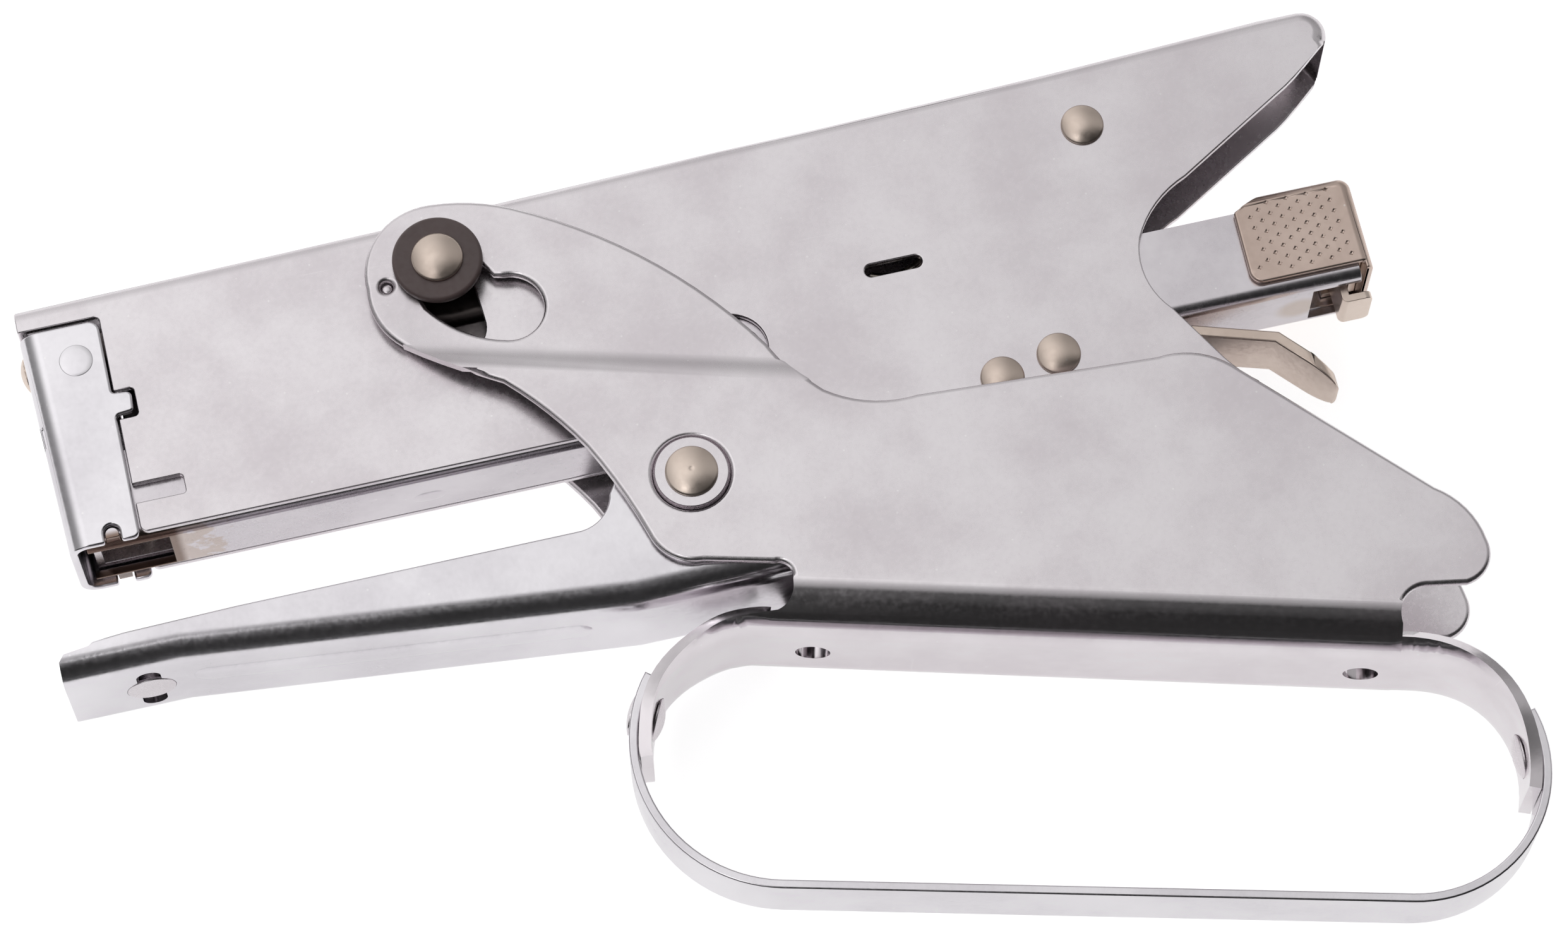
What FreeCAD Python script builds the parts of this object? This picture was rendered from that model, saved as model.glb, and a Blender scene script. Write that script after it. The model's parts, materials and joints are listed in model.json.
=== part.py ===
"""Plier stapler, lying on its side.

Units are millimetres.  +X runs along the staple channel from the nose to the tail,
+Y runs from the finger loop up to the top of the housing, +Z is the thickness.
Everything is laid out about the mid-plane z = 0 and shifted at the end so that the
origin is the centre of the bottom of the bounding box.
"""
import FreeCAD
import Part
import math
import os

V = FreeCAD.Vector
os.makedirs("parts", exist_ok=True)

# ---------------------------------------------------------------- driving dimensions
# thicknesses of the sheet parts
T_HOUSING = 1.0
T_COVER = 1.0
T_CHANNEL = 1.0
T_ARM = 1.4
T_HANDLE = 1.5
T_STRAP = 1.15
# half widths across the tool, outside of each sheet part
W_HOUSING = 7.0
W_COVER = 7.7
W_CHANNEL = 5.95
W_ARM = 9.25
W_HANDLE = 11.05
W_NOSE = 9.5
W_STRAP = 4.7
# pivots (X, Y)
JAW_PIVOT = (38.3, -6.4)
HANDLE_PIVOT = (-12.0, -2.1)
DRIVER_PIVOT = (46.2, 33.9)
ROLLER = (-36.4, 32.6)
LATCH_PIVOT = (35.8, 4.5)
LOWER_RIVET = (28.3, 3.0)
# travels in degrees from the open position, and the stroke of the blade
JAW_TRAVEL = 6.0
HANDLE_TRAVEL = 20.0
DRIVER_TRAVEL = 5.3
BLADE_STROKE = 12.3
# staple channel
CH_Y0 = 6.5
CH_Y1 = 18.3
CH_X0 = -85.7
CH_X1 = 75.3
# nose: the front wall leans back a little towards the bottom
NOSE_TOP = 35.4
NOSE_BOTTOM = 6.2
NOSE_X = -88.95
NOSE_LEAN = 0.0394
# cam roller
ROLLER_BORE = 2.05
HUB_IN_R = 3.5
HUB_CAM_R = 2.6
HUB_FIT = 0.1
FLANGE_R = 5.6
FLANGE_Z = 9.8
# handle channel: foot line, its slope, bend radius and the inward step of the nose
WEB_POINT = (-8.0, -22.6)
WEB_ANGLE = -15.36
R_FOLD = 6.3
STEP_V = 33.0
STEP_HALF = 1.65
STEP_END = 12.7
# bend radii along the top of the housing, at the tail tip and along the arm
R_TOP = 1.9
TAIL_TIP = (76.45, 40.4)
TAIL_TIP_R = 3.2
R_ARM = 3.4
# slot in the arm with a round seat over it, and the staked stud with its flush head
SEAT_R = 1.5
SEAT_HALF = 4.0
SEAT_DEPTH = 0.4
STUD_R = 1.4
STUD_HEAD_R = 3.0
# finger loop
LOOP_L = (-7.9, -35.5, 19.0)
LOOP_R = (64.4, -56.0, 17.0)
WEB_HOLE_R = 2.15
WEB_HOLES_X = (-2.0, 62.4)
# cam slot: round lower end, and the points its sides pass through
CAM_END = (-29.0, 24.9, 4.3)
CAM_UPPER = (-33.4, 30.3)
CAM_LOWER = ((-34.64, 22.73), (-38.9, 27.1), (-39.9, 30.6))
# round holes: X, Y, radius
SIGHT_HOUSING = (-3.3, 14.3, 4.5)
SIGHT_CHANNEL = (-3.3, 13.9, 3.9)
LOBE_HOLE = (-43.2, 30.9, 0.8)
# spring window in the housing: its two ends, height and half width
WINDOW_X = (15.9, 21.5)
WINDOW_Y = 20.6
WINDOW_HALF = 0.85
# rivets: shank radius, head radius, head height
DRIVER_RIVET = (1.8, 2.7, 1.1)
LATCH_RIVET = (1.2, 2.75, 1.1)
FRAME_RIVET = (1.4, 2.75, 1.1)
ROLLER_RIVET = (2.0, 3.2, 1.2)
HANDLE_RIVET = (2.0, 3.25, 1.1)
NOSE_STUD = (1.2, 2.2, 0.9)
JAW_PIN_R = 2.2
JAW_PIN_HALF = 9.2
# ring let into the handle round its pivot
WASHER_R = 4.5
WASHER_SEAT_R = 4.75
WASHER_SEAT = 0.4
# rivets of the finger loop
LOOP_RIVET_R = 1.6
LOOP_HEAD_IN = (2.7, 1.0)
LOOP_HEAD_OUT = (2.6, 0.7)
LOOP_GAP = 0.1
# driver lever: outside and inside half widths, and its blade tongue
LEVER_HALF = 4.6
LEVER_HOLLOW = 3.2
TONGUE_HALF = 1.9
BLADE_T = 0.7
BLADE_HALF = 4.8
# pusher cassette
CAP_HALF = 7.0
CAP_HOLLOW = 6.1
SLIDE_HALF = 4.7
SLIDE_HOLLOW = 3.7
HOOK_HALF = 3.3
ROD_R = 1.2
ROD_Y = 12.8
ROD_X = (-84.9, 75.95)
COMPRESSION_R = 2.6
COMPRESSION_WIRE_R = 0.35
COMPRESSION_PITCH = 6.0
COMPRESSION_X0 = -83.2
COMPRESSION_LENGTH = 157.5
# running clearance between a pin and its hole, closer fit of a fixed pin, and the
# half length of a cutter that goes right through
FIT = 0.05
TIGHT = 0.01
THROUGH = 20.0


# ---------------------------------------------------------------- helpers
def outline(start, segments):
    """Closed face from a start point, lines ("L", x, y) and arcs ("A", xm, ym, x, y)."""
    edges = []
    here = V(start[0], start[1], 0)
    first = V(start[0], start[1], 0)
    for seg in segments:
        if seg[0] == "L":
            end = V(seg[1], seg[2], 0)
            edges.append(Part.makeLine(here, end))
        else:
            end = V(seg[3], seg[4], 0)
            edges.append(Part.Arc(here, V(seg[1], seg[2], 0), end).toShape())
        here = end
    if here.sub(first).Length > 1e-6:
        edges.append(Part.makeLine(here, first))
    return Part.Face(Part.Wire(edges))


def prism(face, z0, z1):
    moved = face.copy()
    moved.translate(V(0, 0, z0))
    return moved.extrude(V(0, 0, z1 - z0))


def slab(start, segments, half):
    return prism(outline(start, segments), -half, half)


def box(x0, x1, y0, y1, z0, z1):
    return Part.makeBox(x1 - x0, y1 - y0, z1 - z0, V(x0, y0, z0))


def cyl(x, y, z0, z1, r):
    return Part.makeCylinder(r, z1 - z0, V(x, y, z0), V(0, 0, 1))


def through(x, y, r):
    """Cutter for a round hole through both sides."""
    return cyl(x, y, -THROUGH, THROUGH, r)


def dome(base, direction, r, h):
    """Low rivet head: a short rim with a spherical cap, standing on base."""
    rim = 0.25 * h
    cap = h - rim
    ball_r = (r * r + cap * cap) / (2.0 * cap)
    body = Part.makeCylinder(r, h, V(0, 0, 0), V(0, 0, 1))
    ball = Part.makeSphere(ball_r, V(0, 0, h - ball_r))
    head = body.common(ball)
    turn = FreeCAD.Rotation(V(0, 0, 1), direction)
    head.Placement = FreeCAD.Placement(base, turn)
    return head


def flipped(shape):
    return shape.mirror(V(0, 0, 0), V(0, 0, 1))


def both(shape):
    return [shape, flipped(shape)]


def rivet(x, y, half, sizes):
    """Rivet along Z with a domed head at each side plate."""
    shank_r, head_r, head_h = sizes
    body = cyl(x, y, -half - 0.1, half + 0.1, shank_r)
    top = dome(V(x, y, half), V(0, 0, 1), head_r, head_h)
    return body.fuse([top, flipped(top)]).removeSplitter()


def round_edges(shape, radius, test):
    chosen = []
    for edge in shape.Edges:
        a = edge.valueAt(edge.FirstParameter)
        b = edge.valueAt(edge.LastParameter)
        if test(a, b):
            chosen.append(edge)
    return shape.makeFillet(radius, chosen)


def round_corners(shape, corners):
    """Round the upright edges that stand at the given (x, y, radius) corners."""
    for x, y, radius in corners:
        shape = round_edges(shape, radius, lambda a, b: abs(a.x - x) + abs(a.y - y) < 0.01
                            and abs(b.x - x) + abs(b.y - y) < 0.01)
    return shape


def polar(cx, cy, r, degrees):
    a = math.radians(degrees)
    return (cx + r * math.cos(a), cy + r * math.sin(a))


def turned(point, centre, degrees):
    a = math.radians(degrees)
    dx = point[0] - centre[0]
    dy = point[1] - centre[1]
    x = centre[0] + dx * math.cos(a) - dy * math.sin(a)
    y = centre[1] + dx * math.sin(a) + dy * math.cos(a)
    return (x, y)


def nose_x(y):
    """Outer face of the front wall at height y."""
    return NOSE_X + (NOSE_TOP - y) * NOSE_LEAN


def rod_between(a, b, r):
    d = b.sub(a)
    return Part.makeCylinder(r, d.Length, a, d)


parts = {}

# ---------------------------------------------------------------- housing
def tail_tip(radius, degrees):
    return polar(TAIL_TIP[0], TAIL_TIP[1], radius, degrees)


def top_line(inset, last):
    """Top edge from the nose round the tail tip to the angle last, moved in by inset."""
    t0 = tail_tip(TAIL_TIP_R - inset, 90.0)
    t1 = tail_tip(TAIL_TIP_R - inset, 0.5 * (90.0 + last))
    t2 = tail_tip(TAIL_TIP_R - inset, last)
    return [("A", -45.0, 40.1 - inset, 0.0, 41.3 - inset),
            ("A", 47.0, 42.5 - inset, 71.5, 43.6 - inset),
            ("L", t0[0], t0[1]), ("A", t1[0], t1[1], t2[0], t2[1])]


def top_bend(shape, radius, low):
    """Round the long edges of the top, above the height low."""
    return round_edges(shape, radius, lambda a, b: abs(a.z - b.z) < 1e-6
                       and min(a.y, b.y) > low and abs(a.x - b.x) + abs(a.y - b.y) > 2.0
                       and max(a.y, b.y) < 44.5 and a.x + b.x > -100.0)


shell = slab((-88.9, 36.1),
             [("L", -88.9, 39.4)] + top_line(0.0, -35.0)
             + [("L", 75.4, 35.6), ("A", 73.2, 33.9, 70.9, 32.5),
                ("L", 57.1, 24.3), ("A", 52.0, 20.9, 49.5, 17.4),
                ("A", 48.8, 12.9, 51.1, 7.3), ("L", 55.6, -0.4),
                ("A", 57.2, -2.6, 59.0, -4.4), ("A", 58.6, -8.3, 54.0, -10.8),
                ("L", 32.0, -10.8), ("L", 10.0, -4.5), ("L", -2.0, 6.9),
                ("L", -78.7, 6.9), ("L", -78.7, 10.8), ("L", -72.4, 10.8),
                ("L", -72.4, 13.3), ("L", -78.7, 13.3), ("L", -78.7, 22.1),
                ("L", -76.2, 22.1), ("L", -76.2, 25.9), ("L", -78.7, 25.9),
                ("L", -78.7, 36.1)], W_HOUSING)
shell = round_corners(shell, [(-78.7, 36.1, 0.6), (-76.2, 25.9, 0.5), (-76.2, 22.1, 0.5),
                              (-72.4, 10.8, 0.4), (-72.4, 13.3, 0.4), (-78.7, 6.9, 0.9)])
shell = top_bend(shell, R_TOP, 38.0)
hollow = slab((-88.1, -40.0),
              [("L", -88.1, 39.4 - T_HOUSING)] + top_line(T_HOUSING, 20.0)
              + [("L", 81.6, 33.2), ("L", 81.6, -40.0)], W_HOUSING - T_HOUSING)
hollow = top_bend(hollow, R_TOP - T_HOUSING, 38.0)
housing = shell.cut(hollow)
# curved slot that the roller hubs travel in
slot_r = math.hypot(ROLLER[0] - DRIVER_PIVOT[0], ROLLER[1] - DRIVER_PIVOT[1])
slot_a = math.degrees(math.atan2(ROLLER[1] - DRIVER_PIVOT[1], ROLLER[0] - DRIVER_PIVOT[0]))
slot_a = slot_a % 360.0
slot_w = HUB_IN_R + 0.2
a0 = slot_a - 0.15
a1 = slot_a + DRIVER_TRAVEL + 0.25
am = 0.5 * (a0 + a1)
px, py = DRIVER_PIVOT
p_in0 = polar(px, py, slot_r - slot_w, a0)
p_in1 = polar(px, py, slot_r - slot_w, a1)
p_inm = polar(px, py, slot_r - slot_w, am)
p_out0 = polar(px, py, slot_r + slot_w, a0)
p_out1 = polar(px, py, slot_r + slot_w, a1)
p_outm = polar(px, py, slot_r + slot_w, am)
end0 = polar(px, py, slot_r, a0)
end1 = polar(px, py, slot_r, a1)
cap0 = (end0[0], end0[1] + slot_w)
cap1 = (end1[0], end1[1] - slot_w)
arc_slot = slab(p_in0, [("A", p_inm[0], p_inm[1], p_in1[0], p_in1[1]),
                        ("A", cap1[0], cap1[1], p_out1[0], p_out1[1]),
                        ("A", p_outm[0], p_outm[1], p_out0[0], p_out0[1]),
                        ("A", cap0[0], cap0[1], p_in0[0], p_in0[1])], THROUGH)
wx0, wx1 = WINDOW_X
wy0 = WINDOW_Y - WINDOW_HALF
wy1 = WINDOW_Y + WINDOW_HALF
window = slab((wx0, wy0), [("L", wx1, wy0), ("A", wx1 + WINDOW_HALF, WINDOW_Y, wx1, wy1),
                           ("L", wx0, wy1), ("A", wx0 - WINDOW_HALF, WINDOW_Y, wx0, wy0)],
              THROUGH)
housing = housing.cut([arc_slot, window, through(*SIGHT_HOUSING),
                       through(px, py, DRIVER_RIVET[0] + TIGHT),
                       through(LATCH_PIVOT[0], LATCH_PIVOT[1], LATCH_RIVET[0] + TIGHT),
                       through(LOWER_RIVET[0], LOWER_RIVET[1], FRAME_RIVET[0] + TIGHT),
                       through(JAW_PIVOT[0], JAW_PIVOT[1], JAW_PIN_R + TIGHT)])
parts["frame_housing"] = housing.removeSplitter()

# ---------------------------------------------------------------- nose cover
cover = slab((nose_x(NOSE_TOP), NOSE_TOP),
             [("L", -78.9, NOSE_TOP), ("L", -78.9, 25.4), ("L", -76.5, 25.2),
              ("L", -76.7, 22.6), ("L", -78.9, 22.4), ("L", -78.9, NOSE_BOTTOM),
              ("L", nose_x(NOSE_BOTTOM), NOSE_BOTTOM)], W_COVER)
cover = round_corners(cover, [(-78.9, NOSE_TOP, 1.3), (-76.5, 25.2, 0.7),
                              (-76.7, 22.6, 0.5), (-78.9, 25.4, 0.5),
                              (-78.9, 22.4, 0.5), (-78.9, NOSE_BOTTOM, 0.8)])
cover = round_edges(cover, 2.6, lambda a, b: max(a.x, b.x) < -86.0
                    and abs(a.y - b.y) > 10.0)
core = slab((nose_x(45.0) + T_COVER, 45.0),
            [("L", -60.0, 45.0), ("L", -60.0, -5.0),
             ("L", nose_x(-5.0) + T_COVER, -5.0)], W_COVER - T_COVER)
core = round_edges(core, 1.6, lambda a, b: max(a.x, b.x) < -80.0
                   and abs(a.y - b.y) > 10.0)
cover = cover.cut(core)
# notch over the locating tongue of the channel, and a slot in each front corner
notch = slab((-83.2, 5.0), [("L", -83.2, 7.5), ("A", -82.18, 8.5, -81.15, 7.5),
                            ("L", -81.15, 5.0)], THROUGH)
corner_slot = box(-91.0, -86.9, 20.7, 23.5, 5.3, 6.5)
stud_y = 33.2
outward = V(-1, -NOSE_LEAN, 0).normalize()
inward = V(outward).negative()
on_nose = V(nose_x(stud_y), stud_y, 0)
stud_r, stud_head_r, stud_head_h = NOSE_STUD
stud_hole = Part.makeCylinder(stud_r + FIT + TIGHT, 6.0, on_nose.add(V(outward).multiply(3.0)), inward)
cover = cover.cut([notch, stud_hole] + both(corner_slot))
parts["nose_cover"] = cover.removeSplitter()

stud = Part.makeCylinder(stud_r, T_COVER + 0.1, on_nose.add(V(outward).multiply(0.1)), inward)
stud_head = dome(on_nose.add(V(outward).multiply(0.02)), outward, stud_head_r,
                 stud_head_h)
parts["nose_rivet"] = stud.fuse(stud_head).removeSplitter()

# ---------------------------------------------------------------- staple channel
channel = box(CH_X0, CH_X1, CH_Y0, CH_Y1, -W_CHANNEL, W_CHANNEL)
channel = round_edges(channel, 1.6, lambda a, b: abs(a.x - b.x) > 50.0
                      and max(a.y, b.y) < CH_Y0 + 0.1)
bore = box(CH_X0 - 5, CH_X1 + 5, CH_Y0 + T_CHANNEL, CH_Y1 + 5,
           -W_CHANNEL + T_CHANNEL, W_CHANNEL - T_CHANNEL)
bore = round_edges(bore, 0.6, lambda a, b: abs(a.x - b.x) > 50.0
                   and max(a.y, b.y) < CH_Y0 + T_CHANNEL + 0.1)
exit_gap = box(CH_X0 - 1, -75.6, CH_Y0 - 1, CH_Y0 + 3, -4.4, 4.4)
latch_gap = box(69.2, CH_X1 + 1, CH_Y0 - 1, CH_Y0 + 3, -4.25, 4.25)
channel = channel.cut([bore, exit_gap, latch_gap, through(*SIGHT_CHANNEL)])
tongue = prism(outline((-83.05, 6.9), [("L", -83.05, 7.4), ("A", -82.2, 8.2, -81.35, 7.4),
                                       ("L", -81.35, 6.9)]), 5.4, 7.3)
parts["magazine_channel"] = channel.fuse(both(tongue)).removeSplitter()

# ---------------------------------------------------------------- rivets of the housing
parts["driver_pivot_rivet"] = rivet(px, py, W_HOUSING, DRIVER_RIVET)
parts["latch_pivot_rivet"] = rivet(LATCH_PIVOT[0], LATCH_PIVOT[1], W_HOUSING, LATCH_RIVET)
parts["lower_frame_rivet"] = rivet(LOWER_RIVET[0], LOWER_RIVET[1], W_HOUSING, FRAME_RIVET)
parts["jaw_pivot_pin"] = cyl(JAW_PIVOT[0], JAW_PIVOT[1], -JAW_PIN_HALF, JAW_PIN_HALF, JAW_PIN_R)

# ---------------------------------------------------------------- release lever
latch = slab((35.8, 4.05),
             [("L", 52.3, 4.25), ("L", 62.7, 1.0), ("L", 68.7, -5.6),
              ("A", 69.6, -5.7, 69.75, -4.8), ("L", 63.5, 2.2), ("L", 53.3, 5.45),
              ("L", 35.8, 5.25)], W_STRAP)
plan = box(35.8, 69.3, -15.0, 15.0, -W_STRAP, W_STRAP)
plan = round_edges(plan, 3.2, lambda a, b: min(a.x, b.x) > 69.0 and abs(a.y - b.y) > 10)
latch = latch.common(plan)
eye = cyl(LATCH_PIVOT[0], LATCH_PIVOT[1], -W_STRAP, W_STRAP, 1.9)
latch = latch.fuse(eye).cut(through(LATCH_PIVOT[0], LATCH_PIVOT[1], LATCH_RIVET[0] + FIT))
parts["release_lever"] = latch.removeSplitter()

# ---------------------------------------------------------------- driver lever
lever = slab((-82.5, 30.9),
             [("L", -36.0, 26.3), ("L", 0.0, 27.0), ("L", 38.5, 28.0),
              ("A", 52.0, 33.9, 46.2, 39.7), ("L", 0.0, 39.0), ("L", -36.0, 38.0),
              ("L", -70.0, 36.4), ("L", -82.5, 34.4)], LEVER_HALF)
lever = round_edges(lever, 1.6, lambda a, b: abs(a.z - b.z) < 1e-6
                    and max(a.y, b.y) < 31.2 and abs(a.x - b.x) > 10)
trough = slab((-90.0, 33.1),
              [("L", -36.0, 27.75), ("L", 0.0, 28.4), ("L", 38.5, 29.4),
               ("L", 60.0, 26.0), ("L", 60.0, 50.0), ("L", -90.0, 50.0)], LEVER_HOLLOW)
lever = lever.cut(trough)
lever = lever.cut(box(24.0, 43.5, 20.0, 31.0, -2.9, 3.3))
tongue = box(-87.55, -79.0, 30.7, 34.3, -TONGUE_HALF, TONGUE_HALF)
lever = lever.fuse(tongue)
lever = lever.cut([through(px, py, DRIVER_RIVET[0] + FIT),
                   through(ROLLER[0], ROLLER[1], ROLLER_RIVET[0] + TIGHT)])
parts["driver_lever"] = lever.removeSplitter()

# torsion spring coiled round the driver pivot; one leg lies in the lever, the other
# runs down to the window in the housing and ends in a bend there
COIL_R = 3.0
WIRE_R = 0.5
COIL_PITCH = 1.1
COIL_START = -90.0
COIL_END = 123.2
COIL_LOW = -1.1
LEG_IN = 24.0
LEG_OUT = 27.0
HOOK_R = 6.0
HOOK_TURN = 60.0
turns = 2.0 + (COIL_END - COIL_START) / 360.0
coil = Part.makeHelix(COIL_PITCH, COIL_PITCH * turns, COIL_R)
coil.rotate(V(0, 0, 0), V(0, 0, 1), COIL_START)
coil.translate(V(px, py, COIL_LOW))
rise = COIL_PITCH / (2 * math.pi * COIL_R)


def coil_way(degrees):
    """Direction along the wire where it is at this angle round the coil."""
    a = math.radians(degrees + 90.0)
    return V(math.cos(a), math.sin(a), rise)


low = polar(px, py, COIL_R, COIL_START)
high = polar(px, py, COIL_R, COIL_END)
coil_in = V(low[0], low[1], COIL_LOW)
coil_out = V(high[0], high[1], COIL_LOW + COIL_PITCH * turns)
leg_in = coil_in.sub(coil_way(COIL_START).multiply(LEG_IN))
leg_out = coil_out.add(coil_way(COIL_END).multiply(LEG_OUT))
way = coil_way(COIL_END).normalize()
side = V(way.y, -way.x, 0).normalize()
up = side.cross(way)
bend = []
for share in (0.5, 1.0):
    turn = FreeCAD.Rotation(up, -HOOK_TURN * share)
    centre = leg_out.add(V(side).multiply(HOOK_R))
    bend.append(centre.sub(turn.multVec(V(side).multiply(HOOK_R))))
edges = [Part.makeLine(leg_in, coil_in)] + coil.Edges
edges += [Part.makeLine(coil_out, leg_out), Part.Arc(leg_out, bend[0], bend[1]).toShape()]
ring = Part.Wire(Part.makeCircle(WIRE_R, leg_in, coil_way(COIL_START)))
parts["driver_spring"] = Part.Wire(edges).makePipeShell([ring], True, False)

# ---------------------------------------------------------------- rollers and their axle
parts["roller_axle"] = rivet(ROLLER[0], ROLLER[1], W_HANDLE + 0.1, ROLLER_RIVET)
roll = cyl(ROLLER[0], ROLLER[1], 5.0, 7.6, HUB_IN_R)
roll = roll.fuse([cyl(ROLLER[0], ROLLER[1], 7.55, FLANGE_Z + 0.1, HUB_CAM_R),
                  cyl(ROLLER[0], ROLLER[1], FLANGE_Z, 11.1, FLANGE_R)]).removeSplitter()
roll = round_edges(roll, 0.45, lambda a, b: min(a.z, b.z) > 11.0)
roll = roll.cut(through(ROLLER[0], ROLLER[1], ROLLER_BORE))
parts["cam_roller_near"] = roll
parts["cam_roller_far"] = flipped(roll)

# ---------------------------------------------------------------- driver blade
gap = T_COVER + 0.12
b0 = 18.6
b1 = 35.9
blade = slab((nose_x(b0) + gap, b0),
             [("L", nose_x(b0) + gap + BLADE_T, b0), ("L", nose_x(b1) + gap + BLADE_T, b1),
              ("L", nose_x(b1) + gap, b1)], BLADE_HALF)
eye = TONGUE_HALF + 0.2
parts["driver_blade"] = blade.cut(box(-90, -84, 30.3, 34.7, -eye, eye))

# ---------------------------------------------------------------- anvil arm
hx, hy = HANDLE_PIVOT
jx, jy = JAW_PIVOT
arm = slab((-91.4, -10.6),
           [("L", -91.3, -8.2), ("L", -90.6, -7.3), ("L", -87.5, -6.9),
            ("L", -86.9, -6.4), ("L", -83.0, -6.1), ("L", -69.0, -5.8),
            ("L", -27.1, -5.75), ("A", -23.8, -4.6, -22.2, -1.8), ("L", -19.9, 1.6),
            ("A", -15.8, 4.5, -11.0, 4.9), ("L", 15.0, -1.5), ("L", 36.0, -1.73),
            ("A", 43.5, -6.4, 36.5, -11.28), ("L", 12.0, -13.6), ("L", 2.0, -16.4),
            ("L", -21.8, -16.4), ("L", -77.2, -10.6)], W_ARM)
arm = round_edges(arm, R_ARM, lambda a, b: abs(a.z - b.z) < 1e-6 and abs(a.x - b.x) > 12
                  and max(a.y, b.y) < -10.0 and max(a.x, b.x) < 3.0)
trough = slab((-99.0, -10.6 + T_ARM),
              [("L", -77.1, -10.6 + T_ARM), ("L", -21.7, -16.4 + T_ARM),
               ("L", 3.4, -16.4 + T_ARM), ("L", 3.4, -30.0), ("L", 70.0, -30.0),
               ("L", 70.0, 30.0), ("L", -99.0, 30.0)], W_ARM - T_ARM)
trough = round_edges(trough, R_ARM - T_ARM, lambda a, b: abs(a.z - b.z) < 1e-6
                     and abs(a.x - b.x) > 12 and max(a.y, b.y) < -8.0
                     and min(a.y, b.y) > -20.0)
arm = arm.cut(trough)
ax, ay = -81.4, -10.6
seat = box(ax - SEAT_R, ax + SEAT_R, ay - 1.0, ay + 5.0, -SEAT_HALF, SEAT_HALF)
seat = seat.fuse(Part.makeCylinder(STUD_HEAD_R + FIT, SEAT_DEPTH + 1.0,
                                   V(ax, ay - 1.0, 0), V(0, 1, 0)))
for side in (-1, 1):
    end = V(ax, ay - 1.0, side * SEAT_HALF)
    seat = seat.fuse(Part.makeCylinder(SEAT_R, 6.0, end, V(0, 1, 0)))
arm = arm.cut([seat, through(hx, hy, HANDLE_RIVET[0] + TIGHT),
               through(jx, jy, JAW_PIN_R + FIT)])
parts["anvil_arm"] = arm.removeSplitter()

# anvil plate with its stud staked through the arm and two clinching troughs
anvil = box(ax - 5.0, ax + 4.2, ay + T_ARM + 0.05, ay + T_ARM + 1.35, -5.8, 5.8)
stud = Part.makeCylinder(STUD_R, T_ARM + 0.1, V(ax, ay, 0), V(0, 1, 0))
stud = stud.fuse(Part.makeCylinder(STUD_HEAD_R, SEAT_DEPTH + 0.05,
                                   V(ax, ay - 0.1, 0), V(0, 1, 0)))
anvil = anvil.fuse(stud)
for side in (-1, 1):
    clinch = Part.makeCylinder(4.0, 2.0, V(ax - 1.0, ay + T_ARM + 4.9, side * 2.8), V(1, 0, 0))
    anvil = anvil.cut(clinch)
parts["anvil_plate"] = anvil.removeSplitter()

# ---------------------------------------------------------------- handle
plate = slab((-35.8, 40.7),
             [("A", -30.9, 39.9, -25.9, 38.0), ("A", -11.4, 27.9, 0.9, 13.0),
              ("A", 3.1, 8.9, 6.2, 5.0), ("A", 10.6, 2.6, 17.1, 1.8), ("L", 47.0, 0.0),
              ("A", 51.9, -0.6, 55.6, -3.0), ("L", 75.5, -24.1),
              ("A", 79.0, -28.4, 79.9, -32.0), ("A", 78.9, -35.6, 76.0, -37.0),
              ("L", 71.5, -36.2), ("A", 68.4, -36.9, 67.2, -40.0), ("L", 66.2, -44.0),
              ("L", -9.5, -24.0), ("L", -9.8, -20.6), ("L", -5.6, -21.1),
              ("A", -3.9, -20.3, -3.1, -18.6), ("L", -2.95, -17.6),
              ("A", -3.3, -16.2, -4.8, -15.5), ("L", -13.0, -13.4),
              ("A", -16.9, -11.8, -18.8, -8.5), ("A", -20.8, -2.5, -23.7, 4.1),
              ("A", -27.3, 9.6, -31.8, 14.8), ("A", -37.2, 18.3, -42.7, 22.8),
              ("A", -45.4, 27.0, -45.7, 31.0), ("A", -43.1, 38.0, -35.8, 40.7)], 13.0)


def channel_profile(u0, u1, step):
    """Folded channel in its own frame: u along the foot, v away from it."""
    w0 = W_HANDLE
    w1 = W_HANDLE - T_HANDLE
    flat = W_HANDLE - R_FOLD
    r1 = R_FOLD - T_HANDLE
    c = math.sqrt(0.5)
    pts = []
    for w, r in ((w0, R_FOLD), (w1, r1)):
        foot = R_FOLD - r
        side = [("A", R_FOLD - r * c, flat + r * c, R_FOLD, w)]
        if step:
            drop = W_HANDLE - W_NOSE
            side += [("L", STEP_V - STEP_HALF, w), ("L", STEP_V + STEP_HALF, w - drop),
                     ("L", 90.0, w - drop), ("L", 90.0, -w + drop),
                     ("L", STEP_V + STEP_HALF, -w + drop), ("L", STEP_V - STEP_HALF, -w)]
        else:
            side += [("L", 90.0, w), ("L", 90.0, -w)]
        side += [("L", R_FOLD, -w), ("A", R_FOLD - r * c, -flat - r * c, foot, -flat)]
        face = outline((foot, -flat), [("L", foot, flat)] + side)
        pts.append(face.extrude(V(0, 0, u1 - u0)))
    body = pts[0].cut(pts[1])
    # the sketch holds (v, z, u): turn it into (u, v, z)
    m = FreeCAD.Matrix(0, 0, 1, u0, 1, 0, 0, 0, 0, 1, 0, 0, 0, 0, 0, 1)
    body.transformShape(m)
    body.rotate(V(0, 0, 0), V(0, 0, 1), WEB_ANGLE)
    body.translate(V(WEB_POINT[0], WEB_POINT[1], 0))
    return body


wa = math.radians(WEB_ANGLE)
U_DIR = V(math.cos(wa), math.sin(wa), 0)
V_DIR = V(-math.sin(wa), math.cos(wa), 0)
left = channel_profile(-90.0, STEP_END, True).common(plate)
right = channel_profile(STEP_END, 110.0, False).common(plate)
handle = left.fuse(right).removeSplitter()


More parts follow.
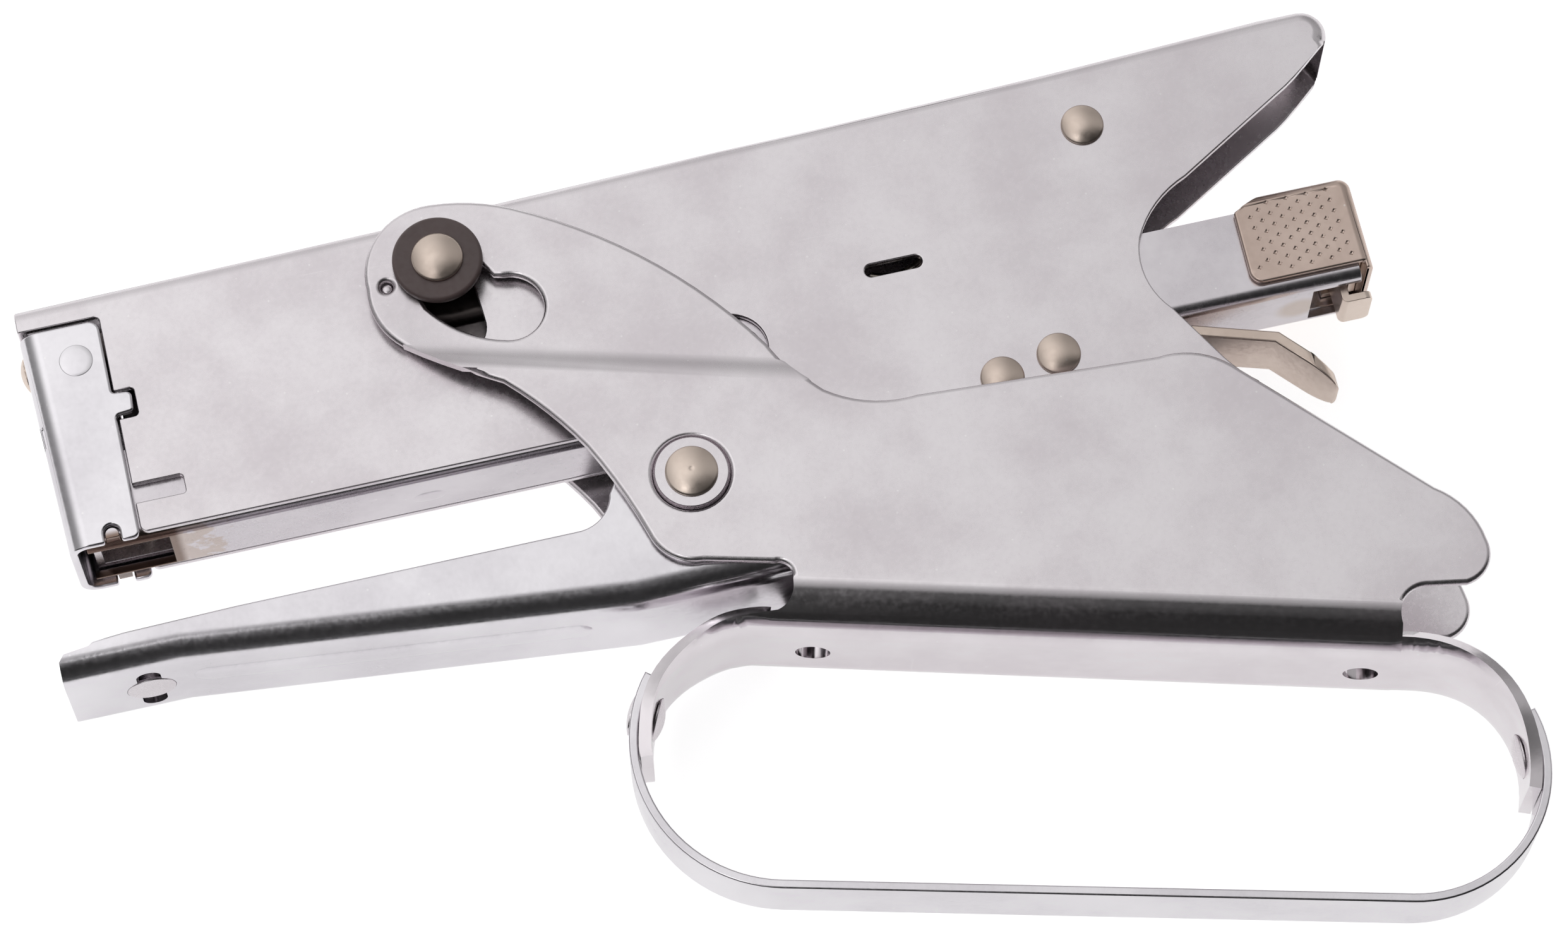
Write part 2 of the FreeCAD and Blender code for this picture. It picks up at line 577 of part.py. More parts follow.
def on_web(x):
    """Point of the outer face of the foot at X = x."""
    u = (x - WEB_POINT[0]) / math.cos(wa)
    return V(WEB_POINT[0], WEB_POINT[1], 0).add(V(U_DIR).multiply(u))


def strap(points, curls, outward):
    """Strip that carries on from the foot; its edges curl by the given angles."""
    curve = Part.BSplineCurve()
    curve.interpolate([V(x, y, 0) for x, y in points])
    wires = []
    flat = W_HANDLE - R_FOLD
    half = T_HANDLE / 2.0
    for (x, y), curl in zip(points, curls):
        t = curve.parameter(V(x, y, 0))
        tangent = curve.tangent(t)[0]
        normal = V(-tangent.y, tangent.x, 0)
        if normal.dot(outward) < 0:
            normal = normal.negative()
        origin = V(x, y, 0).sub(V(normal).multiply(half))

        def at(radius, angle, side):
            a = math.radians(angle)
            z = side * (flat + radius * math.sin(a))
            h = R_FOLD - radius * math.cos(a)
            return origin.add(V(normal).multiply(h)).add(V(0, 0, z))

        r0 = R_FOLD
        r1 = R_FOLD - T_HANDLE
        edges = [Part.makeLine(at(r0, 0, -1), at(r0, 0, 1)),
                 Part.Arc(at(r0, 0, 1), at(r0, curl / 2, 1), at(r0, curl, 1)).toShape(),
                 Part.makeLine(at(r0, curl, 1), at(r1, curl, 1)),
                 Part.Arc(at(r1, curl, 1), at(r1, curl / 2, 1), at(r1, 0, 1)).toShape(),
                 Part.makeLine(at(r1, 0, 1), at(r1, 0, -1)),
                 Part.Arc(at(r1, 0, -1), at(r1, curl / 2, -1), at(r1, curl, -1)).toShape(),
                 Part.makeLine(at(r1, curl, -1), at(r0, curl, -1)),
                 Part.Arc(at(r0, curl, -1), at(r0, curl / 2, -1), at(r0, 0, -1)).toShape()]
        wires.append(Part.Wire(edges))
    return Part.makeLoft(wires, True, False)


def mid_web(x):
    p = on_web(x).add(V(V_DIR).multiply(T_HANDLE / 2.0))
    return (p.x, p.y)


left_strap = strap([mid_web(-7.2), (-11.5, -21.35), (-15.0, -21.9), (-18.6, -23.3),
                    (-21.8, -25.8), (-23.5, -28.7), (-24.4, -31.5), (-24.8, -34.3)],
                   [44, 40, 34, 26, 18, 11, 7, 5], V(-1, 1, 0))
cx, cy, cr = LOOP_R
fold = [polar(66.65, -55.5, 12.75, a) for a in (74.64, 50.0, 25.0, 5.0)]
tail = [polar(cx, cy, cr - T_STRAP - LOOP_GAP - T_HANDLE / 2, a) for a in (-6.0, -24.0)]
right_strap = strap([mid_web(65.0)] + fold + tail,
                    [44, 42, 34, 24, 14, 8, 5], V(1, 1, 0))
handle = handle.fuse([left_strap, right_strap]).removeSplitter()

# cam slot: the path of the roller centre seen from the handle, widened by the hub
cam = []
for i in range(5):
    s = i / 4.0
    spot = turned(ROLLER, DRIVER_PIVOT, DRIVER_TRAVEL * s)
    pivot = turned(HANDLE_PIVOT, JAW_PIVOT, -JAW_TRAVEL * s)
    spot = turned(spot, pivot, -(HANDLE_TRAVEL - JAW_TRAVEL) * s)
    cam.append((spot[0] - pivot[0] + hx, spot[1] - pivot[1] + hy))
cam_w = HUB_CAM_R + HUB_FIT
ex, ey, er = CAM_END
end_top = polar(ex, ey, er, 88.0)
end_mid = polar(ex, ey, er, -10.0)
end_low = polar(ex, ey, er, -104.0)
low_mid, low_top, low_end = CAM_LOWER
cutters = [through(cam[0][0], cam[0][1], HUB_CAM_R + 4 * HUB_FIT),
           slab(CAM_UPPER, [("L", end_top[0], end_top[1]),
                            ("A", end_mid[0], end_mid[1], end_low[0], end_low[1]),
                            ("A", low_mid[0], low_mid[1], low_top[0], low_top[1]),
                            ("L", low_end[0], low_end[1])], THROUGH)]
for i in range(4):
    x0, y0 = cam[i]
    x1, y1 = cam[i + 1]
    length = math.hypot(x1 - x0, y1 - y0)
    run = Part.makeBox(length, 2 * cam_w, 2 * THROUGH, V(0, -cam_w, -THROUGH))
    run.rotate(V(0, 0, 0), V(0, 0, 1), math.degrees(math.atan2(y1 - y0, x1 - x0)))
    run.translate(V(x0, y0, 0))
    cutters += [run, through(x1, y1, cam_w)]
cam_slot = cutters[0].fuse(cutters[1:])
ring_seat = cyl(hx, hy, W_HANDLE - WASHER_SEAT, THROUGH, WASHER_SEAT_R)
cuts = [cam_slot, through(hx, hy, HANDLE_RIVET[0] + FIT), through(*LOBE_HOLE)] + both(ring_seat)
for x in WEB_HOLES_X:
    foot = on_web(x)
    start = foot.sub(V(V_DIR).multiply(3.0))
    cuts.append(Part.makeCylinder(WEB_HOLE_R, 8.0, start, V_DIR))


def radial(centre, degrees):
    a = math.radians(degrees)
    return V(centre[0], centre[1], 0), V(math.cos(a), math.sin(a), 0)


RIVET_SPOTS = ((LOOP_L, 154.0), (LOOP_R, -2.0))
for centre, angle in RIVET_SPOTS:
    c, d = radial(centre, angle)
    cuts.append(Part.makeCylinder(LOOP_RIVET_R + TIGHT, 12.0, c.add(V(d).multiply(12.0)), d))
    base = centre[2] - T_STRAP - LOOP_GAP - T_HANDLE - 0.03
    cuts.append(Part.makeCylinder(2.75, 3.0, c.add(V(d).multiply(base - 3.0)), d))
handle = handle.cut(cuts)
parts["handle_shell"] = handle

# ---------------------------------------------------------------- pivot of the handle
post_half = W_HANDLE + 0.35
parts["handle_pivot_rivet"] = rivet(hx, hy, post_half, HANDLE_RIVET)
washer = cyl(hx, hy, W_HANDLE - 0.35, post_half - 0.02, WASHER_R)
washer = washer.cut(through(hx, hy, HANDLE_RIVET[0] + TIGHT))
parts["pivot_washers"] = Part.makeCompound(both(washer))

# ---------------------------------------------------------------- finger loop
lx, ly, lr = LOOP_L
rx, ry, rr = LOOP_R
span = math.hypot(rx - lx, ry - ly)
slope = math.degrees(math.atan2(ry - ly, rx - lx))
foot_a = slope - math.degrees(math.acos((lr - rr) / span))
A_LEFT = 141.0
A_RIGHT = 13.0


def loop_side(offset):
    l0 = polar(lx, ly, lr - offset, A_LEFT)
    lm = polar(lx, ly, lr - offset, 0.5 * (A_LEFT + foot_a + 360.0))
    l1 = polar(lx, ly, lr - offset, foot_a)
    r0 = polar(rx, ry, rr - offset, foot_a)
    rm = polar(rx, ry, rr - offset, 0.5 * (foot_a + A_RIGHT))
    r1 = polar(rx, ry, rr - offset, A_RIGHT)
    return l0, lm, l1, r0, rm, r1


o = loop_side(0.0)
n = loop_side(T_STRAP)
loop = slab(o[0], [("A", o[1][0], o[1][1], o[2][0], o[2][1]), ("L", o[3][0], o[3][1]),
                   ("A", o[4][0], o[4][1], o[5][0], o[5][1]), ("L", n[5][0], n[5][1]),
                   ("A", n[4][0], n[4][1], n[3][0], n[3][1]), ("L", n[2][0], n[2][1]),
                   ("A", n[1][0], n[1][1], n[0][0], n[0][1])], W_STRAP)
loop_cuts = []
loop_rivets = []
for centre, angle in RIVET_SPOTS:
    c, d = radial(centre, angle)
    loop_cuts.append(Part.makeCylinder(LOOP_RIVET_R + TIGHT, 12.0, c.add(V(d).multiply(12.0)), d))
    inner_r = centre[2] - T_STRAP - LOOP_GAP - T_HANDLE
    head_in = dome(c.add(V(d).multiply(inner_r - 0.06)), d.negative(), *LOOP_HEAD_IN)
    head_out = dome(c.add(V(d).multiply(centre[2] + 0.06)), d, *LOOP_HEAD_OUT)
    pin = Part.makeCylinder(LOOP_RIVET_R, centre[2] - inner_r + 0.3,
                            c.add(V(d).multiply(inner_r - 0.15)), d)
    loop_rivets.append(pin.fuse([head_in, head_out]).removeSplitter())
parts["finger_loop"] = loop.cut(loop_cuts)
parts["loop_rivets"] = Part.makeCompound(loop_rivets)

# ---------------------------------------------------------------- pusher cassette
cap = slab((61.7, 18.1), [("L", 65.5, 19.9), ("L", 75.3, 19.9), ("A", 76.4, 19.5, 76.9, 18.4),
                          ("L", 76.9, 7.2), ("L", 76.0, 7.2), ("L", 76.0, 8.2),
                          ("L", 63.0, 8.2), ("A", 62.0, 8.8, 61.6, 10.2)], CAP_HALF)
cap = round_edges(cap, 1.4, lambda a, b: min(a.x, b.x) > 76.8 and abs(a.y - b.y) > 5)
cap = cap.cut(box(50.0, 76.0, 0.0, 30.0, -CAP_HOLLOW, CAP_HOLLOW))
parts["end_cap"] = cap

holder = box(71.6, ROD_X[1], 9.0, 16.6, -SLIDE_HALF, SLIDE_HALF)
holder = holder.cut(box(70.0, 75.0, 8.0, 18.0, -SLIDE_HOLLOW, SLIDE_HOLLOW))
parts["rod_holder"] = holder.cut(Part.makeCylinder(ROD_R + TIGHT, 10.0, V(70, ROD_Y, 0),
                                                   V(1, 0, 0)))
parts["pusher_rod"] = Part.makeCylinder(ROD_R, ROD_X[1] - ROD_X[0], V(ROD_X[0], ROD_Y, 0),
                                        V(1, 0, 0))

hook = box(72.6, 76.4, 4.6, 5.6, -HOOK_HALF, HOOK_HALF)
hook = round_edges(hook, 0.9, lambda a, b: min(a.x, b.x) > 76.3 and abs(a.y - b.y) > 0.5)
hook = hook.fuse([box(72.6, 73.6, 4.6, 10.2, -HOOK_HALF, HOOK_HALF),
                  box(72.6, 74.98, 9.2, 10.2, -HOOK_HALF, HOOK_HALF)])
hook = hook.removeSplitter()
hook = round_edges(hook, 0.8, lambda a, b: max(a.x, b.x) < 72.7 and max(a.y, b.y) < 4.7
                   and abs(a.z - b.z) > 1)
parts["latch_hook"] = hook

helix = Part.makeHelix(COMPRESSION_PITCH, COMPRESSION_LENGTH, COMPRESSION_R)
ring = Part.Wire(Part.makeCircle(COMPRESSION_WIRE_R, V(COMPRESSION_R, 0, 0), V(0, 1, 0)))
coil = Part.Wire(helix).makePipeShell([ring], True, True)
coil.rotate(V(0, 0, 0), V(0, 1, 0), 90)
coil.translate(V(COMPRESSION_X0, ROD_Y, 0))
parts["pusher_spring"] = coil

pusher = box(-85.2, -72.0, 8.0, 17.3, -SLIDE_HALF, SLIDE_HALF)
pusher = pusher.cut(box(-84.2, -70.0, 7.0, 16.3, -SLIDE_HOLLOW, SLIDE_HOLLOW))
parts["pusher"] = pusher.cut(Part.makeCylinder(ROD_R + 4 * FIT, 10.0, V(-90, ROD_Y, 0),
                                               V(1, 0, 0)))

# ---------------------------------------------------------------- place and write
extent = Part.makeCompound(list(parts.values())).optimalBoundingBox(False, False)
shift = V(-0.5 * (extent.XMin + extent.XMax), -0.5 * (extent.YMin + extent.YMax), -extent.ZMin)
for name, shape in parts.items():
    placed = shape.copy()
    placed.translate(shift)
    placed.exportStep("parts/" + name + ".step")
    print(name, "valid" if placed.isValid() else "INVALID", len(placed.Solids),
          round(placed.Volume, 1))
print("shift", [round(c, 4) for c in shift],
      "size", [round(c, 3) for c in (extent.XLength, extent.YLength, extent.ZLength)])
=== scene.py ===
"""Looks of a plier stapler that lies on its side on a pale table.

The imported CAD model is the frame.  Lengths are metres, in the frame's own axes:
+X along the staple channel to the tail, +Y from the finger loop to the top of the
housing, +Z up from the table.  Places on the tool are given in its own layout, in
millimetres about its mid-plane, and spot() turns them into the frame's metres.
"""
import json
import math
import bmesh
import bpy
from mathutils import Matrix, Vector


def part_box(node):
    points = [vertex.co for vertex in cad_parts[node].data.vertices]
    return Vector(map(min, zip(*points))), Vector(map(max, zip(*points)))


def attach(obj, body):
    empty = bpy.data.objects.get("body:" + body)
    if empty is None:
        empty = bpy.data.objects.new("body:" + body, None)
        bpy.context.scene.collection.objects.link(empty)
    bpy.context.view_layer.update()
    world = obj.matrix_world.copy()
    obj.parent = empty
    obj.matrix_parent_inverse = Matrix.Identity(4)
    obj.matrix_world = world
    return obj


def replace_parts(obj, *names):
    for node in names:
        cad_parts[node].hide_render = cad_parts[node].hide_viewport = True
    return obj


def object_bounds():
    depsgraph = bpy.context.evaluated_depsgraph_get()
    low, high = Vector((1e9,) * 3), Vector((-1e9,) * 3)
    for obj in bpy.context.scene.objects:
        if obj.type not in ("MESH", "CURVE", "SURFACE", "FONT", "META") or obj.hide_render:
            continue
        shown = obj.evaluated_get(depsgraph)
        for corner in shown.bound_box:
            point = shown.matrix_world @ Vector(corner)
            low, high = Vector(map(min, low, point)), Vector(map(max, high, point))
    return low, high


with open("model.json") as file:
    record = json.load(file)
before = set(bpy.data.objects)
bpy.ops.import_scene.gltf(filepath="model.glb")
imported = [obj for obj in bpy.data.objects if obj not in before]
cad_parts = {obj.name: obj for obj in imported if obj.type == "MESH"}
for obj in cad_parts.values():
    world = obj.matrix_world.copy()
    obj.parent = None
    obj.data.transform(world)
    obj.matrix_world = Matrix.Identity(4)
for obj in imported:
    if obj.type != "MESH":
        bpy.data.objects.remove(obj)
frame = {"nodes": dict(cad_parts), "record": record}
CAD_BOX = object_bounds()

MM = 0.001
NODES = frame["nodes"]
BODY_OF = {n: b for b, ns in frame["record"]["behaviour"]["bodies"].items() for n in ns}
SLOT_OF = {s["node"]: s["material_slot"] for s in frame["record"]["subparts"]}
LOW, HIGH = CAD_BOX
CENTRE = (LOW + HIGH) / 2

# ---------------------------------------------------------------- layout of the tool
# its origin is on the mid-plane, in front of the jaw pivot and a little above it
JAW_PIVOT = (38.3, -6.4, 0.0)
PIN_LOW, PIN_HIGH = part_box("jaw_pivot_pin")
ORIGIN = (PIN_LOW + PIN_HIGH) / 2 - Vector(JAW_PIVOT) * MM
ACROSS = Vector((0.0, 0.0, 1.0))
SIDES = ((-1, "far"), (1, "near"))
# foot of the handle channel: a point of its outer face, and its slope
HANDLE_FOOT = (-8.0, -22.6, 0.0)
HANDLE_SLOPE = math.radians(-15.36)
# outer face of the web of the staple channel, and its end at the nose
CHANNEL_Y = 6.5
CHANNEL_STAIN_X = -75.0
CHANNEL_OUT = Vector((0.0, -1.0, 0.0))
# direction out of the web of the arm
ARM_OUT = Vector((-0.1042, -0.9946, 0.0))


def spot(x, y, z):
    """A point of the tool's own layout, in the frame's metres."""
    return ORIGIN + Vector((x, y, z)) * MM


# ---------------------------------------------------------------- camera
# it looks down at the origin of the layout, tilted and turned a little
CAMERA_BACK = Vector((-0.08062, -0.34918, 0.93358)).normalized()
CAMERA_RIGHT = Vector((0.97437, -0.22495, 0.0)).normalized()
CAMERA_DISTANCE = 0.65
CAMERA_LENS = 120.63
SENSOR_WIDTH = 36.0


def make_camera():
    data = bpy.data.cameras.new("camera")
    data.lens = CAMERA_LENS
    data.sensor_width = SENSOR_WIDTH
    data.clip_start = 0.01
    data.clip_end = 20.0
    camera = bpy.data.objects.new("camera", data)
    up = CAMERA_BACK.cross(CAMERA_RIGHT).normalized()
    turn = Matrix((CAMERA_RIGHT, up, CAMERA_BACK)).transposed().to_4x4()
    place = ORIGIN + CAMERA_BACK * CAMERA_DISTANCE
    camera.matrix_world = Matrix.Translation(place) @ turn
    bpy.context.scene.collection.objects.link(camera)
    bpy.context.scene.camera = camera


# ---------------------------------------------------------------- shader helpers
class Nodes:
    """A material's or world's node tree, with short calls that add a node."""

    def __init__(self, tree):
        self.tree = tree

    def add(self, kind, **sockets):
        node = self.tree.nodes.new("ShaderNode" + kind)
        for name, value in sockets.items():
            self.set(node, name.replace("_", " "), value)
        return node

    def set(self, node, socket, value):
        target = node.inputs[socket]
        if isinstance(value, bpy.types.NodeSocket):
            self.tree.links.new(value, target)
        else:
            target.default_value = value

    def math(self, operation, a, b=None, c=None, clamp=False):
        node = self.tree.nodes.new("ShaderNodeMath")
        node.operation = operation
        node.use_clamp = clamp
        for i, value in enumerate((a, b, c)):
            if value is not None:
                self.set(node, i, value)
        return node.outputs[0]

    def remap(self, value, low, high, to_low, to_high):
        """value from low..high to to_low..to_high, clamped, with soft ends."""
        node = self.tree.nodes.new("ShaderNodeMapRange")
        node.interpolation_type = "SMOOTHSTEP"
        for name, v in (("Value", value), ("From Min", low), ("From Max", high),
                        ("To Min", to_low), ("To Max", to_high)):
            self.set(node, name, v)
        return node.outputs[0]

    def mix(self, share, a, b):
        node = self.tree.nodes.new("ShaderNodeMix")
        node.data_type = "RGBA"
        self.set(node, 0, share)
        self.set(node, 6, a)
        self.set(node, 7, b)
        return node.outputs[2]

    def on_object(self):
        """Coordinates on the object, in metres."""
        return self.add("TexCoord").outputs["Object"]

    def place(self, turn=(0.0, 0.0, 0.0), scale=(1.0, 1.0, 1.0)):
        """Coordinates on the object, turned and stretched."""
        where = self.on_object()
        mapping = self.add("Mapping", Vector=where, Rotation=turn, Scale=scale)
        return mapping.outputs[0]

    def axes(self, where):
        """The X, Y and Z of a vector, apart."""
        return tuple(self.add("SeparateXYZ", Vector=where).outputs)

    def noise(self, where, scale, detail=2.0, rough=0.5):
        node = self.add("TexNoise", Vector=where, Scale=scale, Detail=detail, Roughness=rough)
        return node.outputs[0]

    def bump(self, height, strength, distance):
        node = self.add("Bump", Strength=strength, Distance=distance, Height=height)
        return node.outputs[0]


def new_material(name):
    material = bpy.data.materials.new(name)
    material.use_nodes = True
    tree = material.node_tree
    return material, Nodes(tree), tree.nodes["Principled BSDF"]


def rgb(red, green, blue):
    """Shader colour from the 0..255 values seen on a screen."""
    return tuple((c / 255.0) ** 2.2 for c in (red, green, blue)) + (1.0,)


def grey(level):
    return (level, level, level, 1.0)


# ---------------------------------------------------------------- materials
# noise scales, per metre
CLOUD_SCALE = 55.0
BROAD_SCALE = 14.0
GRAIN_SCALE = 1500.0
FLECK_SCALE = 420.0
FLECK_COLOUR = (0.95, 0.94, 0.93, 1.0)
SCRATCH_COLOUR = (0.92, 0.91, 0.90, 1.0)
# two sets of hairlines: turn, scale along and across them, noise level where they start
HAIRLINES = ((0.5, 60.0, 2600.0, 0.70), (-0.9, 45.0, 2100.0, 0.72))
HAIRLINE_FADE = 0.06
# height of the grain in metres, and how much the burnished bend is smoothed
GRAIN_HEIGHT = 0.00002
BURNISH = 0.13


def sheet_metal(name, light, dark, smooth, dull, grain=0.15, scuffs=0.5, stain=None,
                polish=None):
    """Plated sheet: cloudy tone, fine grain, hairline scuffs and tiny pale flecks."""
    material, n, shader = new_material(name)
    where = n.place()
    cloud = n.noise(where, CLOUD_SCALE, 4.0, 0.6)
    fine = n.noise(where, GRAIN_SCALE, 3.0, 0.6)
    broad = n.noise(where, BROAD_SCALE, 2.0)
    colour = n.mix(n.remap(cloud, 0.3, 0.7, 0.0, 1.0), light, dark)
    lines = []
    for turn, along, across, start in HAIRLINES:
        streaks = n.noise(n.place((0.0, 0.0, turn), (along, across, along)), 1.0, 2.0)
        lines.append(n.remap(streaks, start, start + HAIRLINE_FADE, 0.0, 1.0))
    scratch = n.math("MAXIMUM", lines[0], lines[1])
    scratch = n.math("MULTIPLY", scratch, n.remap(broad, 0.45, 0.7, 0.0, scuffs))
    cells = n.add("TexVoronoi", Vector=where, Scale=FLECK_SCALE, Randomness=1.0)
    fleck = n.remap(cells.outputs["Distance"], 0.035, 0.075, 1.0, 0.0)
    colour = n.mix(n.math("MULTIPLY", fleck, 0.35), colour, FLECK_COLOUR)
    colour = n.mix(n.math("MULTIPLY", scratch, 0.45), colour, SCRATCH_COLOUR)
    if stain is not None:
        colour = stain(n, where, colour)
    n.set(shader, "Base Color", colour)
    n.set(shader, "Metallic", 1.0)
    rough = n.remap(fine, 0.25, 0.75, smooth, dull)
    rough = n.math("ADD", rough, n.remap(cloud, 0.3, 0.7, -0.03, 0.03))
    rough = n.math("SUBTRACT", rough, n.math("MULTIPLY", scratch, 0.1), clamp=True)
    if polish is not None:
        rough = n.math("SUBTRACT", rough, n.math("MULTIPLY", polish(n), BURNISH), clamp=True)
    n.set(shader, "Roughness", rough)
    height = n.math("ADD", fine, n.math("MULTIPLY", scratch, -0.8))
    n.set(shader, "Normal", n.bump(height, grain, GRAIN_HEIGHT))
    return material


def chrome_sheet(name, light, dark):
    return sheet_metal(name, light, dark, 0.17, 0.25, grain=0.3, scuffs=0.35)


def nickel_metal(name, light, dark):
    return sheet_metal(name, light, dark, 0.30, 0.40, grain=0.22, scuffs=0.25)


def dark_metal(name):
    return sheet_metal(name, rgb(105, 98, 96), rgb(78, 72, 72), 0.28, 0.42, grain=0.3)


def wire_metal(name):
    return sheet_metal(name, rgb(190, 182, 172), rgb(140, 130, 120), 0.2, 0.32, grain=0.1)


def black_plastic(name):
    """Dark brown-grey moulded nylon with a faint sheen and fine turning marks."""
    material, n, shader = new_material(name)
    where = n.place()
    fine = n.noise(where, 1800.0, 3.0)
    cloud = n.noise(where, 130.0, 3.0)
    n.set(shader, "Base Color", n.mix(cloud, rgb(86, 73, 72), rgb(108, 92, 91)))
    n.set(shader, "Roughness", n.remap(fine, 0.3, 0.7, 0.38, 0.55))
    n.set(shader, "Normal", n.bump(fine, 0.2, 0.00003))
    return material


def near(n, place, low, high):
    """1 within low of a point of the tool's layout (mm), fading to 0 at high."""
    away = n.add("VectorMath", Vector=n.on_object())
    away.operation = "DISTANCE"
    away.inputs[1].default_value = spot(*place)
    return n.remap(away.outputs["Value"], low * MM, high * MM, 1.0, 0.0)


def channel_stains(n, where, colour):
    """Brown fired-on stain on the web at the nose end, and a beige patch near the tail."""
    ragged = n.noise(where, 420.0, 3.0, 0.6)
    x, y, _ = n.axes(where)
    web_y = ORIGIN.y + CHANNEL_Y * MM
    web = n.remap(y, web_y + 0.5 * MM, web_y + 1.5 * MM, 1.0, 0.0)
    edge = n.math("ADD", x, n.math("MULTIPLY", n.math("SUBTRACT", ragged, 0.5), 0.02))
    start = ORIGIN.x + CHANNEL_STAIN_X * MM
    brown = n.math("MULTIPLY", n.remap(edge, start + 3.0 * MM, start + 5.5 * MM, 0.6, 0.0), web)
    colour = n.mix(brown, colour, rgb(186, 166, 150))
    deep = n.math("MULTIPLY", n.remap(x, start, start + 1.2 * MM, 0.9, 0.0), web)
    colour = n.mix(deep, colour, rgb(118, 96, 84))
    patch = n.math("MULTIPLY", near(n, (67.5, CHANNEL_Y, 0.0), 1.5, 3.5), 0.55)
    return n.mix(patch, colour, rgb(190, 170, 150))


def bend_polish(n):
    """1 in the bend along the foot of the handle, which is burnished, 0 on its sides."""
    x, y, _ = n.axes(n.on_object())
    base = spot(*HANDLE_FOOT)
    across = n.math("MULTIPLY", n.math("SUBTRACT", x, base.x), -math.sin(HANDLE_SLOPE))
    rise = n.math("MULTIPLY", n.math("SUBTRACT", y, base.y), math.cos(HANDLE_SLOPE))
    return n.remap(n.math("ADD", across, rise), 4.5 * MM, 6.8 * MM, 1.0, 0.0)


SATIN = (rgb(228, 223, 226), rgb(216, 209, 213), 0.24, 0.31)
MATERIALS = {
    "plated_sheet": sheet_metal("satin_zinc", *SATIN),
    "bright_sheet": chrome_sheet("bright_zinc", rgb(232, 229, 233), rgb(218, 214, 219)),
    "nickel": nickel_metal("warm_nickel", rgb(226, 210, 198), rgb(208, 190, 178)),
    "dark_steel": dark_metal("dark_steel"),
    "spring_wire": wire_metal("spring_wire"),
    "roller_plastic": black_plastic("roller_nylon"),
}
# nodes whose finish differs from the others of their slot
NODE_MATERIALS = {
    "handle_shell": sheet_metal("burnished_zinc", *SATIN, polish=bend_polish),
    "magazine_channel": sheet_metal("stained_zinc", rgb(222, 217, 221), rgb(206, 200, 205),
                                    0.20, 0.28, stain=channel_stains),
    "end_cap": nickel_metal("cap_nickel", rgb(212, 192, 181), rgb(192, 171, 160)),
}


def material_of(node):
    return NODE_MATERIALS.get(node, MATERIALS[SLOT_OF[node]])


# ---------------------------------------------------------------- pieces
def add_piece(name, bm, node, material=None):
    """Make a shaded piece from bm that rides with the body of a CAD node."""
    data = bpy.data.meshes.new(name)
    bm.normal_update()
    bm.to_mesh(data)
    bm.free()
    data.polygons.foreach_set("use_smooth", [True] * len(data.polygons))
    data.materials.append(material or MATERIALS[SLOT_OF[node]])
    piece = bpy.data.objects.new(name, data)
    bpy.context.scene.collection.objects.link(piece)
    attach(piece, BODY_OF[node])
    return piece


def shade_evenly(piece):
    """Let the large faces set the shading, so that narrow ones don't tilt it."""
    even = piece.modifiers.new("even", "WEIGHTED_NORMAL")
    even.weight = 60
    even.keep_sharp = True


# ---------------------------------------------------------------- rounded CAD nodes
# widths of the rounded edges, in mm
EDGE = {"frame_housing": 0.2, "handle_shell": 0.6, "anvil_arm": 0.3, "nose_cover": 0.3,
        "magazine_channel": 0.1, "finger_loop": 0.25, "release_lever": 0.25, "end_cap": 0.3,
        "cam_roller_near": 0.3, "cam_roller_far": 0.3}
OTHER_EDGE = 0.1
# only the edges beside their flat cheeks are rounded
FOLDED = ("handle_shell", "anvil_arm", "finger_loop")
SPRINGS = ("driver_spring", "pusher_spring")
EDGE_STEPS = 3
SHARP = math.radians(50.0)
LEAST_CORNER = math.radians(40.0)
FLAT = math.radians(0.4)
WELD = 0.002 * MM
SLIM = 0.2 * MM


def clear_corners(edge):
    """No face beside the edge has a very sharp corner at the edge's ends."""
    for vert in edge.verts:
        along = edge.other_vert(vert).co - vert.co
        for face in edge.link_faces:
            for other in face.edges:
                if other is edge or vert not in other.verts:
                    continue
                if along.angle(other.other_vert(vert).co - vert.co) < LEAST_CORNER:
                    return False
    return True


def slim(edge):
    """One of the faces beside the edge is only a hair wide along it."""
    length = max(edge.calc_length(), 1e-6)
    return min(face.calc_area() for face in edge.link_faces) < SLIM * length


def beside_cheek(edge):
    """The edge borders a face square to the thickness of the tool."""
    return any(abs(face.normal.z) > 0.999 for face in edge.link_faces)


def sharp_edges(bm):
    return [e for e in bm.edges if len(e.link_faces) == 2 and e.calc_face_angle() > SHARP]


def softened(node, width, cheeks_only):
    """The CAD node's own faces, merged, with their sharp edges rounded a little."""
    bm = bmesh.new()
    bm.from_mesh(node.data)
    bmesh.ops.remove_doubles(bm, verts=bm.verts, dist=WELD)
    bmesh.ops.dissolve_limit(bm, angle_limit=FLAT, verts=bm.verts, edges=bm.edges)
    clean = [e for e in sharp_edges(bm) if not slim(e) and clear_corners(e)
             and (beside_cheek(e) or not cheeks_only)]
    bmesh.ops.bevel(bm, geom=clean, offset=width, offset_type="OFFSET", segments=EDGE_STEPS,
                    profile=0.5, affect="EDGES", clamp_overlap=False, loop_slide=False)
    for edge in sharp_edges(bm):
        edge.smooth = False
    return bm


def soften_nodes(turned):
    """Give every CAD node its material and, but for springs and turned rivets, a rounded piece."""
    for name, node in NODES.items():
        node.data.materials.clear()
        node.data.materials.append(material_of(name))
        if name in SPRINGS or name in turned:
            continue
        shape = softened(node, EDGE.get(name, OTHER_EDGE) * MM, name in FOLDED)
        piece = add_piece(name + "_soft", shape, name, material_of(name))
        shade_evenly(piece)
        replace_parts(piece, name)


